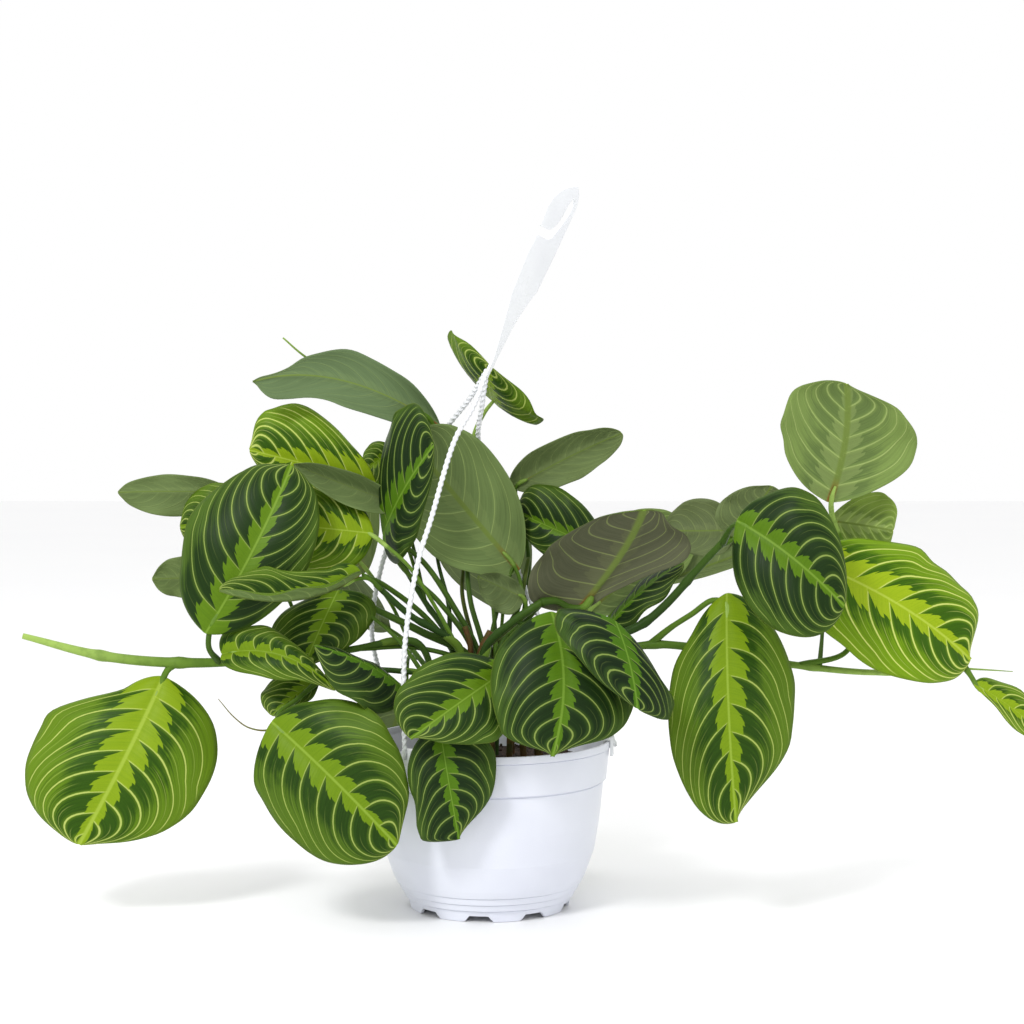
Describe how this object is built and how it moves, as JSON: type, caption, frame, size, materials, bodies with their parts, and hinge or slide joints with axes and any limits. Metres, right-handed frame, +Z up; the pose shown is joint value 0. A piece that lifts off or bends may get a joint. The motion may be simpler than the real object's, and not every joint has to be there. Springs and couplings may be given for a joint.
{
  "type": "potted prayer plant",
  "caption": "Potted prayer plant with broad oval patterned leaves on arching stems, in a tapered plastic pot with a hook-ended plastic hanger clipped to its rim.",
  "frame": {"origin": "centre of the pot's underside, on the surface it stands on", "axes": "+Z up the pot's axis, -Y towards the front of the plant, +X to the right of the front view"},
  "size_m": [0.7121, 0.2829, 0.5032],
  "materials": {
    "pot": "satin",
    "soil": "matte",
    "hanger": "satin",
    "foliage_dark": "satin",
    "foliage_bright": "satin",
    "foliage_grey": "satin"
  },
  "bodies": {
    "root": {"pot": "pot", "soil": "soil", "hanger_hook": "hanger", "hanger_arms": "hanger", "shoot_left": "foliage_bright", "shoot_left_front": "foliage_bright", "shoot_left_upper": "foliage_bright", "shoot_top_left": "foliage_dark", "shoot_top": "foliage_grey", "shoot_rear_right": "foliage_dark", "shoot_centre_right": "foliage_grey", "shoot_right_upper": "foliage_dark", "shoot_right": "foliage_bright", "shoot_front": "foliage_dark", "shoot_front_right": "foliage_dark", "shoot_rear_left": "foliage_dark", "shoot_rear": "foliage_dark", "shoot_rear_side": "foliage_dark"}
  },
  "joints": []
}
